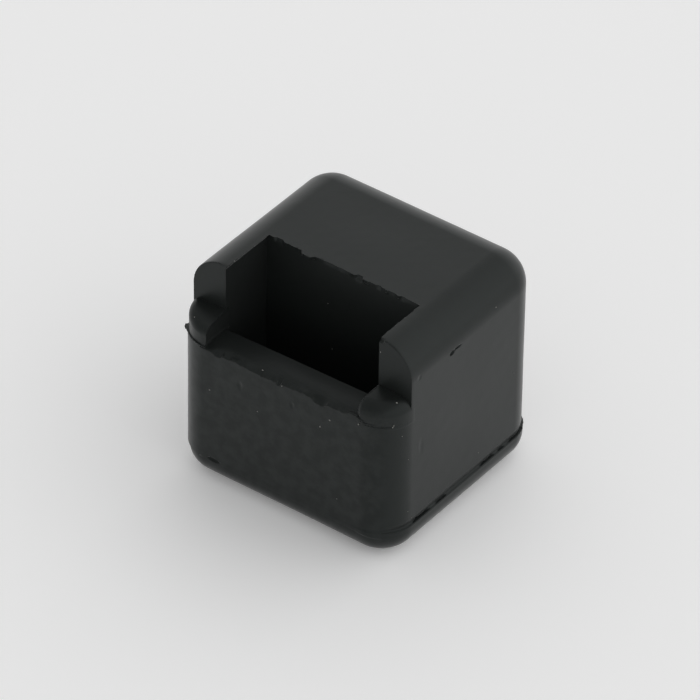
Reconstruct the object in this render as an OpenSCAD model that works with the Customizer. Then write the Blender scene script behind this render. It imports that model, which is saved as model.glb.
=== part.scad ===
// Moulded rubber vibration damper: a rounded block with a blind pocket for a flat tongue.
// The front is stepped back to the pocket's front wall, and two ledges stay at its corners.
// Frame: origin at the middle of the underside, +X along the front, +Y to the back, +Z up.

/* [Block] */
// Width of the block along its stepped front
block_w = 30; // [26:0.5:40]
// Depth of the block from front face to back face
block_d = 27.8; // [24:0.2:40]
// Height of the block
block_h = 27.6; // [25:0.2:40]
// Radius of the four upright corners
corner_r = 4.2; // [3.2:0.1:6]
// Radius of the rim round the top face
top_r = 4.2; // [1:0.1:6]
// Radius of the rim round the underside
base_r = 3; // [1:0.1:6]

/* [Pocket] */
// Width of the pocket between the side walls
pocket_w = 21; // [14:0.5:23]
// Length of the pocket from its front wall to its back wall
pocket_l = 7.4; // [5:0.1:12]
// Depth of the pocket below the top face
pocket_depth = 21; // [12:0.5:23]
// Thickness of the wall in front of the pocket
front_wall = 3.8; // [2.5:0.1:5]

/* [Stepped front] */
// Drop from the top face to the two corner ledges
ledge_drop = 6.2; // [5:0.1:7.8]
// Drop from the top face to the floor of the notch between the ledges
notch_drop = 8.5; // [7.8:0.1:11]
// Drop from the notch floor to the line where the mould's front insert parted
parting_drop = 0.5; // [0.2:0.1:2]

/* [Mould lines] */
// Height of the line where the mould's base plate parted
base_parting = 3.5; // [3:0.1:8]
// How far the front above the insert's parting line stands back from the block below it
insert_inset = 0.15; // [0.05:0.05:0.5]
// How far the flash stands out from the block's sides
flash_out = 0.2; // [0.1:0.05:0.5]
// Thickness of the flash
flash_t = 0.2; // [0.1:0.05:0.5]
// Reach of the torn flash over the pocket's back mouth edge
torn_reach = 0.45; // [0.2:0.05:0.8]

/* [Hidden] */
$fn = 64;

// Each torn tab at the back mouth edge: place as a share of the pocket's width, width, share of the reach
torn_tabs = [[-0.23, 1.8, 1], [0.15, 1.2, 0.6], [0.33, 1.5, 0.7]];
// Share of a torn tab's width that is left at its tip
torn_tip = 0.4;
// How deep the flash roots in the rubber
flash_root = 0.5;
// Extra reach that takes a cut clear of the faces it opens
clear = 1;

// Half sizes of the plan and the centre of the front right corner's arc
half_w = block_w / 2;
half_d = block_d / 2;
corner_x = half_w - corner_r;
corner_y = half_d - corner_r;
// A rim turns about a corner's own axis, so it is never rounder than the corner
top_fillet = min(top_r, corner_r);
base_fillet = min(base_r, corner_r);
// Plane of the stepped front, which is also the pocket's front wall
step_y = front_wall - half_d;
back_y = step_y + pocket_l;
// Heights of the ledges, of the notch floor and of the insert's parting line
ledge_z = block_h - ledge_drop;
notch_z = block_h - notch_drop;
parting_z = notch_z - parting_drop;

// Carries a profile, drawn outwards from a corner's axis, once round the block's plan
module sweep_round() {
    for (turn = [0, 180])
        rotate([0, 0, turn]) {
            translate([corner_x, corner_y, 0])
                rotate_extrude(angle = 90)
                    children();
            translate([-corner_x, corner_y, 0])
                rotate([0, 0, 90])
                    rotate_extrude(angle = 90)
                        children();
            translate([corner_x, 0, 0])
                rotate([90, 0, 0])
                    linear_extrude(2 * corner_y, center = true)
                        children();
            translate([0, corner_y, 0])
                rotate([90, 0, 90])
                    linear_extrude(2 * corner_x, center = true)
                        children();
        }
}

// A quarter disc between the +X axis and the Z axis, or below +X for up = -1
module quarter(r, up) {
    intersection() {
        circle(r);
        translate([0, up < 0 ? -r : 0])
            square(r);
    }
}

// Section of the block from a corner's axis out to its side, with both rims rounded
module rim_profile() {
    translate([0, base_fillet])
        square([corner_r, block_h - top_fillet - base_fillet]);
    translate([corner_r - base_fillet, base_fillet])
        quarter(base_fillet, -1);
    translate([corner_r - top_fillet, block_h - top_fillet])
        quarter(top_fillet, 1);
    if (base_fillet < corner_r)
        square([corner_r - base_fillet, base_fillet]);
    if (top_fillet < corner_r)
        translate([0, block_h - top_fillet])
            square([corner_r - top_fillet, top_fillet]);
}

// Section of a flash bead, centred on a parting line at height z
module flash_profile(z) {
    translate([corner_r - flash_root, z - flash_t / 2])
        square([flash_root + flash_out, flash_t]);
}

// The whole rounded block before the pocket and the stepped front are cut
module rounded_block() {
    translate([-corner_x, -corner_y, 0])
        cube([2 * corner_x, 2 * corner_y, block_h]);
    sweep_round()
        rim_profile();
}

// The pocket's hollow, open at the top
module pocket() {
    translate([-pocket_w / 2, step_y, block_h - pocket_depth])
        cube([pocket_w, pocket_l, pocket_depth + clear]);
}

// What the stepped front takes away above the insert's parting line
module front_step() {
    translate([-half_w - clear, -half_d - clear, parting_z])
        cube([block_w + 2 * clear, front_wall + clear, block_h - parting_z + clear]);
}

// Space in front of the step over the right corner, from the notch's side outwards
module corner_space(bottom_z, top_z) {
    translate([pocket_w / 2, -half_d - clear, bottom_z])
        cube([half_w - pocket_w / 2 + clear, front_wall + clear, top_z - bottom_z]);
}

// The right ledge: the front right corner again, set back by the insert's inset
module ledge() {
    intersection() {
        corner_space(parting_z, ledge_z);
        union() {
            translate([corner_x, -corner_y, parting_z])
                cylinder(r = corner_r - insert_inset, h = block_h);
            translate([0, insert_inset - half_d, parting_z])
                cube([corner_x, block_d, block_h]);
        }
    }
}

// The low land between the ledges, whose top is the notch floor
module notch_land() {
    translate([-pocket_w / 2, insert_inset - half_d, parting_z])
        cube([pocket_w, front_wall - insert_inset, parting_drop]);
}

// Flash under the right ledge, where the front insert met the rest of the mould
module ledge_flash() {
    intersection() {
        sweep_round()
            flash_profile(parting_z);
        corner_space(parting_z - flash_t, parting_z + flash_t);
    }
}

// One torn tab of flash that hangs over the pocket from its back mouth edge
module torn_tab(width, reach) {
    translate([0, back_y, block_h - flash_t])
        linear_extrude(flash_t)
            polygon([
                [-width / 2, 0],
                [-width / 2 * torn_tip, -reach],
                [width / 2 * torn_tip, -reach],
                [width / 2, 0]
            ]);
}

module damper_block() {
    color("#2b2f2f")
        union() {
            difference() {
                rounded_block();
                front_step();
                pocket();
            }
            notch_land();
            for (side = [0, 1])
                mirror([side, 0, 0]) {
                    ledge();
                    ledge_flash();
                }
            sweep_round()
                flash_profile(base_parting);
            for (tab = torn_tabs)
                translate([tab[0] * pocket_w, 0, 0])
                    torn_tab(tab[1], tab[2] * torn_reach);
        }
}

damper_block();
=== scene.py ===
import math
from collections import namedtuple

import bpy
import numpy as np
from mathutils import Matrix, Vector


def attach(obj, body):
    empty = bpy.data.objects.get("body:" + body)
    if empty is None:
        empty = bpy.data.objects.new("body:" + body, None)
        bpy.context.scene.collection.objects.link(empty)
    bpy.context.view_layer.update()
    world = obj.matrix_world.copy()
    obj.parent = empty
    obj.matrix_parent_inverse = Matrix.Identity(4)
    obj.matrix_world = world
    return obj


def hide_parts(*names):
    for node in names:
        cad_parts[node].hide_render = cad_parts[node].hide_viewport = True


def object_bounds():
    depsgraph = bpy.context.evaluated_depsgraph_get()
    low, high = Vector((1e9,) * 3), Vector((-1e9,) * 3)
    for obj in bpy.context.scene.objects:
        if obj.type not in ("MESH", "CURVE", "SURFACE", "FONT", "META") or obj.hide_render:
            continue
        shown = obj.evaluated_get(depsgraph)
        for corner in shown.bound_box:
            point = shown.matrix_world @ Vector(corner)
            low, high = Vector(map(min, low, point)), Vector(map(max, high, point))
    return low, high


# Lengths in this script are millimetres, and MM turns them into the frame's metres.
MM = 0.001

# ---------------------------------------------------------------- sizes of the moulding

# The frame gives the block's box, whose flash reaches FLASH_OUT past the plain sides
FLASH_OUT = 0.2
CORNER_R = 4.2
TOP_R = 4.2
BASE_R = 3.0
POCKET_W = 21.0
POCKET_L = 7.4
POCKET_DEPTH = 21.0
FRONT_WALL = 3.8
LEDGE_DROP = 6.25
NOTCH_DROP = 8.5
PARTING_DROP = 0.5

# Below its parting line the base half stands BASE_SHIFT to the right of the rest
BASE_PARTING = 3.6
BASE_SHIFT = 0.22
BASE_LIP_R = 0.1
BASE_OVERLAP = 0.5

# On the right side the wall above that line leans in, and a fillet fills the seam.
# A ramp gives the places along one axis where something starts and is complete.
TUCK_DEPTH = 0.12
TUCK_HEIGHT = 0.9
TUCK_RAMP = (12.5, 14.5)
SEAM_R = 0.3
SEAM_RAMP = (9, 13)

# Softness of the block's edges and corners
MOUTH_R = 0.03
END_R = 0.1
END_RAMP = (0, 1)
PLAN_R = 0.05
LIP_R = 0.06
FOOT_R = 0.02

# The land between the ledges is higher on the right, and its worn outer edge rolls over.
# WORN and LAND_END are shares of the way from the stepped front to the block's face.
LAND_TILT = 0.24
LAND_ROLL = 0.55
ROLL_POWER = 4
LAND_END = 1.2
WORN = (0.8, 1)
LAND_RAG = 0.12
LAND_FINEST = 0.55
LAND_SEED = 3

# Worn places along the land's outer edge: place across, width, drop
LAND_TEARS = (
    (-8.7, 1.4, 0.2),
    (-6.4, 1.6, -0.1),
    (-2.2, 1.8, 0.1),
    (-0.3, 0.8, 0.3),
    (5.3, 2.4, 0.4),
    (9.8, 2.2, -0.35),
)

# The two ledges beside the land. Each has a domed top, and a flank that bulges over the land.
# The right one merges with the block's side along LEDGE_MERGE; elsewhere they stand back from it.
Ledge = namedtuple("Ledge", "side edge_r flank_r dome bulge merges")
LEDGES = (
    Ledge(side=-1, edge_r=0.8, flank_r=0.04, dome=0.05, bulge=0.09, merges=0),
    Ledge(side=1, edge_r=1.5, flank_r=0.6, dome=0.02, bulge=0.3, merges=1),
)
LEDGE_TILT = 0.13
LEDGE_INSET = 0.12
LEDGE_MERGE = (12.0, 13.5)
BULGE_DROP = 7.3
BULGE_HEIGHT = 3.6
LEDGE_REACH = 0.7
LEDGE_ROOT = 0.5
LEDGE_FOOT = 0.6

# The torn mouth of the pocket: thin flaps over it and bites out of its edge.
# Place across, width, reach over the pocket
MOUTH_TEARS = (
    (-8.8, 1.6, -0.22),
    (-4.75, 2.1, 0.5),
    (2.2, 1.2, -0.4),
    (3.3, 0.9, 0.08),
    (4.95, 0.8, -0.12),
    (6.0, 0.6, 0.08),
    (7.6, 0.6, 0.08),
    (8.2, 0.7, -0.12),
)
FLAP_T = 0.35
FLAP_FADE = 0.15
BITE_DEPTH = 0.6
LIP_DEPTH = 0.5
LEFT_LIP = 0.25
MOUTH_RAG = 0.08
BACK_SEED = 5
RIGHT_SEED = 8
LEFT_SEED = 9

# Fins along the parting lines: below each ledge, and on the base at the back right corner
FIN_REACH = 0.05
FIN_RAG = 0.05
FIN_HALF_T = 0.09
FIN_END = (11, 11.6)
FIN_ROOT = 1
FIN_SEED = 21
NUB_REACH = 0.3
NUB_PLACE = -12.1
NUB_WIDTH = 1.3
BASE_FIN_RAG = 0.06
BASE_FIN_HALF_T = 0.1
BASE_FIN_ACROSS = (8, 12)
BASE_FIN_BACK = (8, 11)
BASE_FIN_SEED = 23
TURN_LENGTH = 14

# Deep places in the crease above the base, along the right side: place, length, depth
CREASES = (
    (-7.9, 3.4, 0.22),
    (-4.2, 2.2, 0.12),
    (4.4, 2.8, 0.25),
    (7.0, 1.2, 0.12),
    (10.0, 3.4, 0.18),
)
CREASE_HEIGHT = 0.4
CREASE_RAG = 0.5
CREASE_RAMP = (9, 14)
CREASE_SEED = 31
SHALLOWEST = 0.01

# The hollow band under the right ledge: place and width across, heights, depth
UNDER_LEDGE = (12.6, 3.8)
UNDER_HIGH = 19.25
UNDER_LOW = 18.35
UNDER_DEPTH = 0.09
UNDER_GAP = 0.3

# Small pits and scuffs: place and half length along each axis
PITS = (
    ((10.75, -10.25, 27.45), (0.45, 0.5, 0.4)),
    ((15.0, -2.75, 23.2), (0.35, 0.45, 0.3)),
    ((15.0, -1.8, 23.35), (0.25, 0.7, 0.14)),
    ((15.06, -8.7, 23.5), (0.09, 0.3, 0.35)),
    ((15.05, -8.1, 13.6), (0.06, 0.3, 0.8)),
    ((-9.2, -13.95, 3.3), (0.9, 0.3, 0.26)),
    ((-5.6, -13.95, 15.6), (0.3, 0.1, 0.5)),
    ((1.6, -13.95, 16.4), (0.25, 0.1, 0.4)),
)
FAR_OFF = 10

# A hump stays level for HUMP_FLAT of its width to each side of its centre
HUMP_FLAT = 0.2

# A ragged line adds up waves. Each is RAG_FADE as strong as the next, which is RAG_STEP as long.
RAG_WAVES = 7
RAG_STEP = 1.7
RAG_FADE = 0.75
RAG_HEIGHT = 2.4
RAG_FINEST = 0.35

# The faces swell a little, and the skin is uneven: reach, length
SWELL = (0.02, 9)
SWELL_SEED = 41
SKIN = (0.003, 1.5)
SKIN_SEED = 42
WAVE_COUNT = 24
WAVE_SPREAD = (0.8, 1.6)

# Grains of dust: place, size
DUST = (
    ((-9.8, -13.9, 13.0), 0.13),
    ((-3.1, -13.9, 13.2), 0.12),
    ((5.5, -13.9, 15.3), 0.16),
    ((6.8, -13.9, 16.8), 0.16),
    ((10.7, -13.8, 18.2), 0.16),
    ((7.9, -13.9, 6.3), 0.09),
    ((-4.2, -13.9, 3.4), 0.08),
    ((15.0, 2.8, 5.7), 0.12),
    ((15.0, 9.2, 13.0), 0.1),
    ((10.7, -10.1, 25.8), 0.12),
    ((-1.3, -2.7, 15.9), 0.1),
    ((-2.0, -2.7, 21.9), 0.08),
    ((-2.9, -13.3, 18.7), 0.12),
    ((0.2, -13.8, 18.4), 0.11),
    ((13.9, -11.3, 21.2), 0.16),
    ((-12.8, -12.8, 21.1), 0.11),
    ((-13.5, -12.8, 19.7), 0.14),
    ((14.1, -12.3, 18.4), 0.14),
    ((14.2, -12.2, 18.6), 0.12),
    ((14.7, -11.3, 16.8), 0.09),
    ((14.9, 5.5, 24.4), 0.12),
    ((15.0, -10.4, 13.1), 0.07),
    ((15.0, -10.3, 5.7), 0.08),
    ((15.0, -9.6, 4.4), 0.08),
    ((-10.1, -8.8, 27.5), 0.12),
)
DUST_SEED = 7
LUMP_SPREAD = (0.5, 1.1)
LUMP_CORNERS = ((1, 0, 0), (-1, 0, 0), (0, 1, 0), (0, -1, 0), (0, 0, 1), (0, 0, -1))
LUMP_SIDES = ((0, 2, 4), (2, 1, 4), (1, 3, 4), (3, 0, 4), (2, 0, 5), (1, 2, 5), (3, 1, 5), (0, 3, 5))
SETTLE_STEPS = 4

# ---------------------------------------------------------------- look, light and camera

# The rubber: a near-black body, a satin skin with a fine grain, and soft blotches on the front
RUBBER_COLOR = (0.0105, 0.0123, 0.0117, 1)
RUBBER_ROUGHNESS = 0.36
SHINE = 0.24
SHINE_TINT = (0.93, 1.0, 0.985, 1)
SHEEN = 0.25
SHEEN_ROUGHNESS = 0.3
GRAIN_SCALE = 3500
GRAIN_DETAIL = 3
GRAIN_STRENGTH = 0.15
GRAIN_DEPTH = 0.03
BLOTCH = 0.035
BLOTCH_SCALE = 650
BLOTCH_DETAIL = 4
BLOTCH_RANGE = (0.4, 0.62)
BLOTCH_FRONT = (-13.6, -12)

DUST_TONE = (0.22, 0.22, 0.205)
DUST_ROUGHNESS = 0.8

# The floor is pale paper. It is FLOOR_HALF metres from its middle to each side.
FLOOR_TONE = 0.97
FLOOR_ROUGHNESS = 0.7
FLOOR_GLOW = 0.12
FLOOR_HALF = 2

# The light is an even white tent, brighter at the back, dimmer overhead and to the front left
TENT_LEVEL = 1.03
TENT_SPREAD = 0.22
BRIGHT_TOWARDS = (0.2, 0.98, 0)
DIM_TOWARDS = (-0.4, -0.4, 1.0)
DIM_RIM = 0.25
DIM_CORE = 0.7
DIM_LEVEL = 0.5
WHITE = (1, 1, 1, 1)

# The camera, fitted to the outline of the block. Its clip distances are in metres.
CAMERA_AZIMUTH = math.radians(36.24)
CAMERA_ELEVATION = math.radians(38.12)
CAMERA_ROLL = math.radians(1.007)
CAMERA_DISTANCE = 781.7
CAMERA_LENS = 361.95
CAMERA_SENSOR = 36
CAMERA_CLIP = (0.01, 10)
AIM_LEFT = 0.668
AIM_UP = 0.712

# ---------------------------------------------------------------- fineness of the mesh

GRID_STEP = 0.1
GRID_MARGIN = 0.6
GRID_LAYERS = 12
TRIANGLE_LIMIT = 190000
SLOPE_STEP = 0.01
BLUNTNESS = 0.03
CRISP_ANGLE = math.radians(32)
TINY = 1e-9

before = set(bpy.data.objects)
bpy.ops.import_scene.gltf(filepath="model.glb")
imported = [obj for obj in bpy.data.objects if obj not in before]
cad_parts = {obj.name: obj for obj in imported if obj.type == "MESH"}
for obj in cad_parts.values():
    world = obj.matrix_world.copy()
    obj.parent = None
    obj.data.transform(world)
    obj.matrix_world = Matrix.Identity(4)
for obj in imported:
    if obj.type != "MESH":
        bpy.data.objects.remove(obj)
cad_low, cad_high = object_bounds()
half_w = cad_high.x / MM - FLASH_OUT
half_d = cad_high.y / MM - FLASH_OUT
height = cad_high.z / MM
step_y = FRONT_WALL - half_d
back_y = step_y + POCKET_L
pocket_x = POCKET_W / 2
floor_z = height - POCKET_DEPTH
ledge_z = height - LEDGE_DROP
notch_z = height - NOTCH_DROP
parting_z = notch_z - PARTING_DROP


# ---------------------------------------------------------------- tools for distance fields

def smooth(value, start, end):
    """0 before start, 1 after end, with an easy slope between them."""
    t = np.clip((value - start) / (end - start), 0, 1)
    return t * t * (3 - 2 * t)


def hump(value, centre, width):
    """1 at the centre, falling to 0 half a width away on either side."""
    return 1 - smooth(np.abs(value - centre), width * HUMP_FLAT, width / 2)


def humps(value, places):
    """The sum of several humps, each with its own place, width and height."""
    return sum(reach * hump(value, place, width) for place, width, reach in places)


def band(value, low, high):
    """Distance outside the stretch between two values, negative inside it."""
    return np.abs(value - 0.5 * (high + low)) - 0.5 * (high - low)


def round_cap(a, b, radius):
    """What lies in both a and b, with the edge between them rounded."""
    return np.minimum(np.maximum(a, b), -radius) + np.hypot(
        np.maximum(a + radius, 0), np.maximum(b + radius, 0)
    )


def round_join(a, b, radius):
    """What lies in a or b, with the corner between them filled to a radius."""
    return np.maximum(np.minimum(a, b), radius) - np.hypot(
        np.maximum(radius - a, 0), np.maximum(radius - b, 0)
    )


def ragged(along, seed, finest=RAG_FINEST):
    """A jagged run between about -1 and 1 along a line, from waves of unrelated lengths."""
    random = np.random.default_rng(seed)
    total = 0
    for wave in range(RAG_WAVES):
        length = finest * RAG_STEP ** wave
        strength = RAG_FADE ** (RAG_WAVES - 1 - wave)
        phase = random.uniform(0, 2 * math.pi)
        total = total + np.sin(2 * math.pi * along / length + phase) * strength
    return total / RAG_HEIGHT


def plan_distance(x, y):
    """How far a point lies outside the rectangle that joins the corners' centres."""
    out_x = np.abs(x) - (half_w - CORNER_R)
    out_y = np.abs(y) - (half_d - CORNER_R)
    outside = np.hypot(np.maximum(out_x, 0), np.maximum(out_y, 0))
    return outside + np.minimum(np.maximum(out_x, out_y), 0)


def side_distance(x, y):
    """How far a point lies outside the block's plain sides."""
    return plan_distance(x, y) - CORNER_R


# ---------------------------------------------------------------- the block as a distance field

def shell_field(x, y, z):
    """The rounded block. Its base half is moved sideways, as the mould's base plate was."""
    low_down = 1 - smooth(z, BASE_PARTING, BASE_PARTING + TUCK_HEIGHT)
    tuck = TUCK_DEPTH * low_down * smooth(x, *TUCK_RAMP)
    upper = round_cap(side_distance(x, y) + tuck, z - height, TOP_R)
    upper = np.maximum(upper, BASE_PARTING - BASE_OVERLAP - z)
    lower = round_cap(side_distance(x - BASE_SHIFT, y), -z, BASE_R)
    lower = round_cap(lower, z - BASE_PARTING, BASE_LIP_R)
    return round_join(upper, lower, FOOT_R + SEAM_R * smooth(x, *SEAM_RAMP))


def land_level(x, y):
    """Height of the land between the ledges, and of the parting plane beside it."""
    forward = np.clip((step_y - y) / FRONT_WALL, 0, LAND_END)
    wear = humps(x, LAND_TEARS) + LAND_RAG * ragged(x, LAND_SEED, LAND_FINEST)
    level = notch_z + LAND_TILT * x / pocket_x
    level = level - LAND_ROLL * forward ** ROLL_POWER - wear * smooth(forward, *WORN)
    return np.where(np.abs(x) < pocket_x + LEDGE_REACH, level, parting_z)


def pocket_field(x, y, z):
    """The hollow of the pocket, open at the front above the land, with its torn lips."""
    flap = smooth(z, height - FLAP_T - FLAP_FADE, height - FLAP_T)
    bite = np.clip((z - height) / BITE_DEPTH + 1, 0, 1)
    near_top = smooth(z, height - LIP_DEPTH, height)
    tear = humps(x, MOUTH_TEARS)
    back = back_y - np.maximum(tear, 0) * flap - np.minimum(tear, 0) * bite
    back = back + MOUTH_RAG * ragged(x, BACK_SEED) * near_top
    right = pocket_x + MOUTH_RAG * ragged(y, RIGHT_SEED) * near_top
    left = -pocket_x + (LEFT_LIP + MOUTH_RAG * ragged(y, LEFT_SEED)) * near_top
    across = np.maximum(x - right, left - x)
    front = np.minimum(step_y - y, land_level(x, y) - z)
    hollow = round_cap(across, np.maximum(y - back, front), PLAN_R)
    return round_cap(hollow, floor_z - z, PLAN_R)


def ledge_field(x, y, z, ledge):
    """One pillow-shaped ledge. It leans over the land, more so on the right."""
    merged = ledge.merges * smooth(ledge.side * x, *LEDGE_MERGE)
    outer = side_distance(x, y) + LEDGE_INSET * (1 - merged)
    bulge = ledge.bulge * hump(z, height - BULGE_DROP, BULGE_HEIGHT)
    top = ledge_z - LEDGE_TILT * ledge.side - ledge.dome * (step_y - y) ** 2
    body = round_cap(outer, z - top, ledge.edge_r)
    body = round_cap(body, pocket_x - bulge - ledge.side * x, ledge.flank_r)
    return np.maximum(body, np.maximum(y - step_y - LEDGE_ROOT, parting_z - LEDGE_FOOT - z))


def front_fin(x, y, z):
    """The fin under each ledge, with a nub at the left corner."""
    nub = NUB_REACH * hump(y, NUB_PLACE, NUB_WIDTH) * (x < 0)
    reach = FIN_REACH + FIN_RAG * ragged(x + y, FIN_SEED) + nub - smooth(x, *FIN_END)
    fin = np.maximum(side_distance(x, y) - reach, np.abs(z - parting_z) - FIN_HALF_T)
    return np.maximum(fin, np.maximum(y - step_y, pocket_x - np.abs(x)))


def base_fin(x, y, z):
    """The fin at the base's parting line, which shows only at the back right corner."""
    rag = BASE_FIN_RAG * ragged(np.arctan2(y, x) * TURN_LENGTH, BASE_FIN_SEED)
    shown = smooth(x, *BASE_FIN_ACROSS) * smooth(y, *BASE_FIN_BACK)
    reach = BASE_SHIFT + rag - 1 + shown
    return np.maximum(side_distance(x, y) - reach, np.abs(z - BASE_PARTING) - BASE_FIN_HALF_T)


def fin_field(x, y, z):
    """Thin fins of rubber that squeezed out along the mould's two parting lines."""
    fins = np.minimum(front_fin(x, y, z), base_fin(x, y, z))
    return np.maximum(fins, -side_distance(x, y) - FIN_ROOT)


def base_crease(x, y, z):
    """The broken crease above the base, along the right side."""
    rag = CREASE_RAG * ragged(np.arctan2(y, x) * TURN_LENGTH, CREASE_SEED)
    depth = humps(y, CREASES) * (1 + rag) - SHALLOWEST
    depth = depth * smooth(x, *CREASE_RAMP) * np.clip(1 - (z - BASE_PARTING) / CREASE_HEIGHT, 0, 1)
    crease = np.maximum(-side_distance(x, y) - depth, band(z, BASE_PARTING, BASE_PARTING + CREASE_HEIGHT))
    return np.maximum(crease, SHALLOWEST - depth)


def under_crease(x, y, z):
    """The hollow band under the right ledge, deepest at its foot."""
    tuck = np.clip((UNDER_HIGH - z) / (UNDER_HIGH - UNDER_LOW), 0, 1)
    depth = UNDER_DEPTH * hump(x, *UNDER_LEDGE) * tuck * (y < step_y - UNDER_GAP)
    crease = np.maximum(-side_distance(x, y) - depth, band(z, UNDER_LOW, UNDER_HIGH))
    return np.maximum(crease, SHALLOWEST - depth)


def pit_field(x, y, z):
    """Small pits and scuffs."""
    total = np.float32(FAR_OFF)
    for (px, py, pz), (rx, ry, rz) in PITS:
        reach = np.sqrt(((x - px) / rx) ** 2 + ((y - py) / ry) ** 2 + ((z - pz) / rz) ** 2)
        total = np.minimum(total, (reach - 1) * min(rx, ry, rz))
    return total


def block_field(x, y, z):
    """Distance to the block's surface, negative inside the rubber."""
    in_front = np.maximum(y - step_y, land_level(x, y) - z)
    inner = smooth(-side_distance(x, y), *END_RAMP)
    body = round_cap(shell_field(x, y, z), -in_front, LIP_R + (END_R - LIP_R) * inner)
    body = round_cap(body, -pocket_field(x, y, z), MOUTH_R)
    for ledge in LEDGES:
        body = round_join(body, ledge_field(x, y, z, ledge), FOOT_R)
    body = np.minimum(body, fin_field(x, y, z))
    body = np.maximum(body, -np.minimum(base_crease(x, y, z), under_crease(x, y, z)))
    return round_cap(body, -pit_field(x, y, z), LIP_R)


# ---------------------------------------------------------------- from field to mesh

CORNERS = np.array([(i, j, k) for i in (0, 1) for j in (0, 1) for k in (0, 1)])
EDGES = [(a, b) for a in range(8) for b in range(a + 1, 8) if abs(CORNERS[a] - CORNERS[b]).sum() == 1]
TETRAHEDRON = ((1, 1, 1), (1, -1, -1), (-1, 1, -1), (-1, -1, 1))


def sample_field():
    """The field on a grid a little larger than the block, worked out a few layers at a time."""
    low = np.array([-half_w, -half_d, 0]) - GRID_MARGIN
    high = np.array([half_w, half_d, height]) + GRID_MARGIN
    counts = np.ceil((high - low) / GRID_STEP).astype(int) + 1
    xs, ys, zs = (low[i] + GRID_STEP * np.arange(counts[i]) for i in range(3))
    values = np.empty(counts, np.float32)
    for start in range(0, counts[2], GRID_LAYERS):
        z = zs[start:start + GRID_LAYERS]
        values[:, :, start:start + GRID_LAYERS] = block_field(
            xs[:, None, None], ys[None, :, None], z[None, None, :]
        )
    return low, values


def slope(points):
    """The way the field rises fastest at each point, from four samples around it."""
    rise = np.zeros(points.shape)
    for way in TETRAHEDRON:
        x, y, z = (points + SLOPE_STEP * np.array(way)).T
        rise += block_field(x, y, z)[:, None] * np.array(way)
    return rise / np.maximum(np.linalg.norm(rise, axis=1, keepdims=True), TINY)


def crossed_cells(inside):
    """The grid cells that the surface crosses."""
    cells = tuple(n - 1 for n in inside.shape)
    some = np.zeros(cells, bool)
    every = np.ones(cells, bool)
    for i, j, k in CORNERS:
        part = inside[i:i + cells[0], j:j + cells[1], k:k + cells[2]]
        some |= part
        every &= part
    return np.argwhere(some & ~every)


def cell_points(low, values, crossed):
    """One vertex in each crossed cell, where the planes through its crossings meet.

    So edges stay crisp. BLUNTNESS draws the vertex a little to the middle of the crossings.
    """
    corner_values = np.stack([values[tuple((crossed + c).T)] for c in CORNERS], 1)
    total = np.zeros((len(crossed), 3))
    count = np.zeros((len(crossed), 1))
    pull = np.zeros((len(crossed), 3))
    stiffness = np.zeros((len(crossed), 3, 3))
    for a, b in EDGES:
        va, vb = corner_values[:, a], corner_values[:, b]
        hit = np.flatnonzero((va < 0) != (vb < 0))
        share = va[hit] / (va[hit] - vb[hit])
        spot = CORNERS[a] + share[:, None] * (CORNERS[b] - CORNERS[a])
        facing = slope(low + GRID_STEP * (crossed[hit] + spot))
        total[hit] += spot
        count[hit] += 1
        stiffness[hit] += facing[:, :, None] * facing[:, None, :]
        pull[hit] += facing * (facing * spot).sum(1, keepdims=True)
    stiffness += BLUNTNESS * np.eye(3)
    pull += BLUNTNESS * total / count
    spot = np.linalg.solve(stiffness, pull[:, :, None])[:, :, 0]
    return low + GRID_STEP * (crossed + np.clip(spot, 0, 1))


def cell_quads(inside, crossed):
    """One quad for each grid edge that the surface crosses, through the four cells round it."""
    number = np.full([n - 1 for n in inside.shape], -1, np.int32)
    number[tuple(crossed.T)] = np.arange(len(crossed))
    units = np.eye(3, dtype=int)
    quads = []
    for axis in range(3):
        step, u, v = units[axis], units[(axis + 1) % 3], units[(axis + 2) % 3]
        ends = tuple(slice(step[i], None) for i in range(3))
        starts = tuple(slice(0, inside.shape[i] - step[i]) for i in range(3))
        edge = np.argwhere(inside[starts] != inside[ends])
        leaving = inside[tuple(edge.T)]
        ring = np.stack([number[tuple((edge - d).T)] for d in (u + v, v, 0 * u, u)], 1)
        ring[~leaving] = ring[~leaving][:, ::-1]
        quads.append(ring)
    return np.concatenate(quads)


def waves(points, length, seed):
    """Smooth hills and dips of about one length, between about -1 and 1."""
    random = np.random.default_rng(seed)
    total = np.zeros(len(points))
    for _ in range(WAVE_COUNT):
        way = random.normal(size=3)
        way *= 2 * math.pi / (length * random.uniform(*WAVE_SPREAD) * np.linalg.norm(way))
        total += np.sin(points @ way + random.uniform(0, 2 * math.pi))
    return total / math.sqrt(WAVE_COUNT / 2) / 2


def place_points(mesh, points):
    mesh.vertices.foreach_set("co", (points * MM).astype(np.float32).ravel())


def mesh_object(name, points, faces):
    """A smooth-shaded object from points and from faces that all have as many corners."""
    mesh = bpy.data.meshes.new(name)
    mesh.vertices.add(len(points))
    place_points(mesh, points)
    mesh.loops.add(faces.size)
    mesh.loops.foreach_set("vertex_index", faces.astype(np.int32).ravel())
    mesh.polygons.add(len(faces))
    mesh.polygons.foreach_set("loop_start", np.arange(0, faces.size, faces.shape[1], dtype=np.int32))
    mesh.update(calc_edges=True)
    mesh.validate()
    mesh.polygons.foreach_set("use_smooth", np.ones(len(mesh.polygons), bool))
    thing = bpy.data.objects.new(name, mesh)
    bpy.context.scene.collection.objects.link(thing)
    return thing


def apply_modifiers(thing):
    graph = bpy.context.evaluated_depsgraph_get()
    mesh = bpy.data.meshes.new_from_object(thing.evaluated_get(graph))
    thing.modifiers.clear()
    thing.data = mesh


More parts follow.
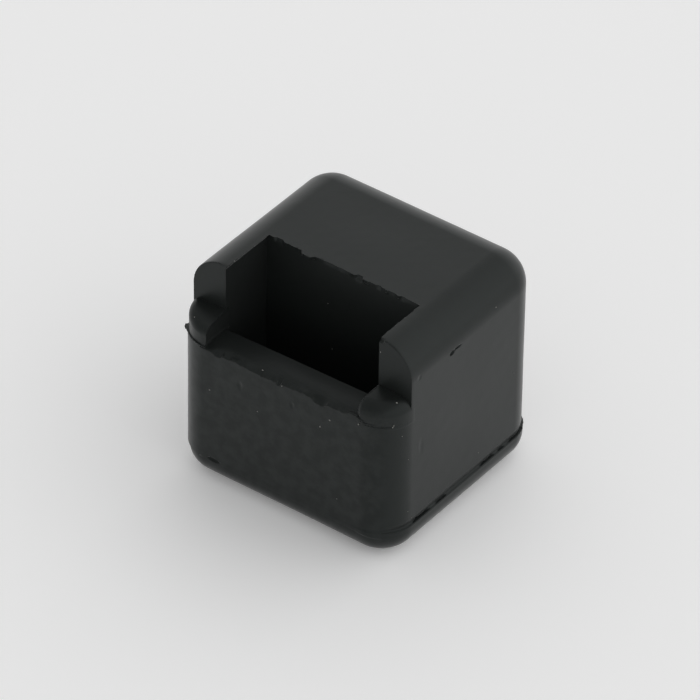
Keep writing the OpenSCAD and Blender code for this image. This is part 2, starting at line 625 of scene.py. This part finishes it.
def heave(mesh, points):
    """Moves the points in and out a little, and none below the floor."""
    normals = np.empty(len(points) * 3, np.float32)
    mesh.vertices.foreach_get("normal", normals)
    swell, swell_length = SWELL
    skin, skin_length = SKIN
    rise = swell * waves(points, swell_length, SWELL_SEED) + skin * waves(points, skin_length, SKIN_SEED)
    points = points + normals.reshape(-1, 3) * rise[:, None]
    points[:, 2] = np.maximum(points[:, 2], 0)
    place_points(mesh, points)


def moulded_block():
    """The rubber block with soft edges, worn lips and ragged fins."""
    low, values = sample_field()
    inside = values < 0
    crossed = crossed_cells(inside)
    points = cell_points(low, values, crossed)
    quads = cell_quads(inside, crossed)
    block = mesh_object("moulded_block", points, quads)
    heave(block.data, points)
    thin = block.modifiers.new("thin", "DECIMATE")
    thin.ratio = min(1, TRIANGLE_LIMIT / (2 * len(quads)))
    apply_modifiers(block)
    block.data.set_sharp_from_angle(angle=CRISP_ANGLE)
    even = block.modifiers.new("even", "WEIGHTED_NORMAL")
    even.keep_sharp = True
    return block


def settled(places):
    """The nearest places on the rubber's surface."""
    for _ in range(SETTLE_STEPS):
        places = places - slope(places) * block_field(*places.T)[:, None]
    return places


def dust_grains():
    """Pale crumbs that lie on the rubber, as one mesh of small rough lumps."""
    random = np.random.default_rng(DUST_SEED)
    places = settled(np.array([place for place, _ in DUST]))
    sizes = [size for _, size in DUST]
    corners = np.array(LUMP_CORNERS)
    points, faces = [], []
    for place, size in zip(places, sizes):
        start = len(points)
        points.extend(place + corners * random.uniform(*LUMP_SPREAD, (len(corners), 1)) * size)
        faces.extend(np.array(side) + start for side in LUMP_SIDES)
    return mesh_object("dust", np.array(points), np.array(faces))


# ---------------------------------------------------------------- materials

def link(tree, source, target):
    tree.links.new(source, target)


def ranged(tree, value, start, end, first, last, easing="LINEAR"):
    """Carries a value's range from start to end over to the one from first to last."""
    spread = tree.nodes.new("ShaderNodeMapRange")
    spread.interpolation_type = easing
    link(tree, value, spread.inputs["Value"])
    spread.inputs["From Min"].default_value = start
    spread.inputs["From Max"].default_value = end
    spread.inputs["To Min"].default_value = first
    spread.inputs["To Max"].default_value = last
    return spread.outputs["Result"]


def joined(tree, operation, first, second):
    """Two values put through one operation of a Math node."""
    node = tree.nodes.new("ShaderNodeMath")
    node.operation = operation
    link(tree, first, node.inputs[0])
    link(tree, second, node.inputs[1])
    return node.outputs[0]


def noise(tree, place, scale, detail):
    texture = tree.nodes.new("ShaderNodeTexNoise")
    texture.inputs["Scale"].default_value = scale
    texture.inputs["Detail"].default_value = detail
    link(tree, place, texture.inputs["Vector"])
    return texture.outputs["Fac"]


def plain_material(name, color, roughness):
    """A material of one colour, with its node tree and its shader."""
    material = bpy.data.materials.new(name)
    material.use_nodes = True
    tree = material.node_tree
    shader = tree.nodes["Principled BSDF"]
    shader.inputs["Base Color"].default_value = color
    shader.inputs["Roughness"].default_value = roughness
    return material, tree, shader


def add_grain(tree, shader, place):
    """The fine grain of the moulded skin."""
    bump = tree.nodes.new("ShaderNodeBump")
    bump.inputs["Strength"].default_value = GRAIN_STRENGTH
    bump.inputs["Distance"].default_value = GRAIN_DEPTH * MM
    link(tree, noise(tree, place, GRAIN_SCALE, GRAIN_DETAIL), bump.inputs["Height"])
    link(tree, bump.outputs["Normal"], shader.inputs["Normal"])


def add_blotches(tree, shader, place):
    """Soft blotches of more and less shine, on the front face only."""
    axes = tree.nodes.new("ShaderNodeSeparateXYZ")
    link(tree, place, axes.inputs[0])
    start, end = (y * MM for y in BLOTCH_FRONT)
    front = ranged(tree, axes.outputs["Y"], start, end, 1, 0, "SMOOTHSTEP")
    blotches = noise(tree, place, BLOTCH_SCALE, BLOTCH_DETAIL)
    shine = tree.nodes.new("ShaderNodeMix")
    shine.inputs["A"].default_value = SHINE
    link(tree, front, shine.inputs["Factor"])
    link(tree, ranged(tree, blotches, *BLOTCH_RANGE, SHINE - BLOTCH, SHINE + BLOTCH), shine.inputs["B"])
    link(tree, shine.outputs["Result"], shader.inputs["Specular IOR Level"])


def rubber_material():
    """Near-black moulded rubber with a fine skin."""
    material, tree, shader = plain_material("black_rubber", RUBBER_COLOR, RUBBER_ROUGHNESS)
    shader.inputs["Specular IOR Level"].default_value = SHINE
    shader.inputs["Specular Tint"].default_value = SHINE_TINT
    shader.inputs["Sheen Weight"].default_value = SHEEN
    shader.inputs["Sheen Roughness"].default_value = SHEEN_ROUGHNESS
    place = tree.nodes.new("ShaderNodeTexCoord").outputs["Object"]
    add_grain(tree, shader, place)
    add_blotches(tree, shader, place)
    return material


def dust_material():
    return plain_material("pale_dust", (*DUST_TONE, 1), DUST_ROUGHNESS)[0]


def paper_material():
    """White paper that shows a little paler than its light makes it, also in reflections."""
    material, tree, shader = plain_material("pale_paper", (*(FLOOR_TONE,) * 3, 1), FLOOR_ROUGHNESS)
    path = tree.nodes.new("ShaderNodeLightPath")
    seen = joined(tree, "MAXIMUM", path.outputs["Is Camera Ray"], path.outputs["Is Glossy Ray"])
    seen = joined(tree, "MAXIMUM", seen, path.outputs["Is Transmission Ray"])
    shader.inputs["Emission Color"].default_value = WHITE
    link(tree, ranged(tree, seen, 0, 1, 0, FLOOR_GLOW), shader.inputs["Emission Strength"])
    return material


# ---------------------------------------------------------------- floor, light and camera

def pale_floor():
    corners = [(x * FLOOR_HALF, y * FLOOR_HALF, 0) for x, y in ((-1, -1), (1, -1), (1, 1), (-1, 1))]
    mesh = bpy.data.meshes.new("floor")
    mesh.from_pydata(corners, [], [(0, 1, 2, 3)])
    floor = bpy.data.objects.new("floor", mesh)
    bpy.context.scene.collection.objects.link(floor)
    floor.data.materials.append(paper_material())


def along_direction(tree, direction):
    """How far a direction of the world points along another one, from -1 to 1."""
    look = tree.nodes.new("ShaderNodeTexCoord")
    product = tree.nodes.new("ShaderNodeVectorMath")
    product.operation = "DOT_PRODUCT"
    product.inputs[1].default_value = Vector(direction).normalized()
    link(tree, look.outputs["Generated"], product.inputs[0])
    return product.outputs["Value"]


def tent_light():
    """Soft white light from all sides, dimmer overhead."""
    world = bpy.data.worlds.new("tent")
    bpy.context.scene.world = world
    world.use_nodes = True
    tree = world.node_tree
    background = tree.nodes["Background"]
    dimmest, brightest = TENT_LEVEL - TENT_SPREAD, TENT_LEVEL + TENT_SPREAD
    sides = ranged(tree, along_direction(tree, BRIGHT_TOWARDS), -1, 1, dimmest, brightest)
    overhead = along_direction(tree, DIM_TOWARDS)
    opening = ranged(tree, overhead, DIM_RIM, DIM_CORE, 1, DIM_LEVEL, "SMOOTHSTEP")
    link(tree, joined(tree, "MULTIPLY", sides, opening), background.inputs["Strength"])
    background.inputs["Color"].default_value = WHITE


def camera_axes():
    """The camera's forward, right and up before it is aimed, with its roll."""
    forward = Vector((
        -math.sin(CAMERA_AZIMUTH) * math.cos(CAMERA_ELEVATION),
        math.cos(CAMERA_AZIMUTH) * math.cos(CAMERA_ELEVATION),
        -math.sin(CAMERA_ELEVATION),
    ))
    level = Vector((math.cos(CAMERA_AZIMUTH), math.sin(CAMERA_AZIMUTH), 0))
    upright = level.cross(forward)
    right = level * math.cos(CAMERA_ROLL) + upright * math.sin(CAMERA_ROLL)
    up = upright * math.cos(CAMERA_ROLL) - level * math.sin(CAMERA_ROLL)
    return forward, right, up


def add_camera(target):
    """Looks at the block from its front right corner, at the photograph's angle and distance."""
    forward, right, up = camera_axes()
    place = target - forward * CAMERA_DISTANCE * MM
    look = (target + (up * AIM_UP - right * AIM_LEFT) * MM - place).normalized()
    right = look.cross(up).normalized()
    up = right.cross(look)
    data = bpy.data.cameras.new("photo_camera")
    data.lens = CAMERA_LENS
    data.sensor_width = CAMERA_SENSOR
    data.clip_start, data.clip_end = CAMERA_CLIP
    camera = bpy.data.objects.new("photo_camera", data)
    camera.matrix_world = Matrix.Translation(place) @ Matrix((right, up, -look)).transposed().to_4x4()
    bpy.context.scene.collection.objects.link(camera)
    bpy.context.scene.camera = camera


# ---------------------------------------------------------------- the scene

block = moulded_block()
block.data.materials.append(rubber_material())
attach(block, "root")
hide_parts("damper_block")

dust = dust_grains()
dust.data.materials.append(dust_material())
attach(dust, "root")

pale_floor()
tent_light()
add_camera(Vector((0, 0, height / 2 * MM)))
bpy.context.scene.view_settings.view_transform = "Standard"
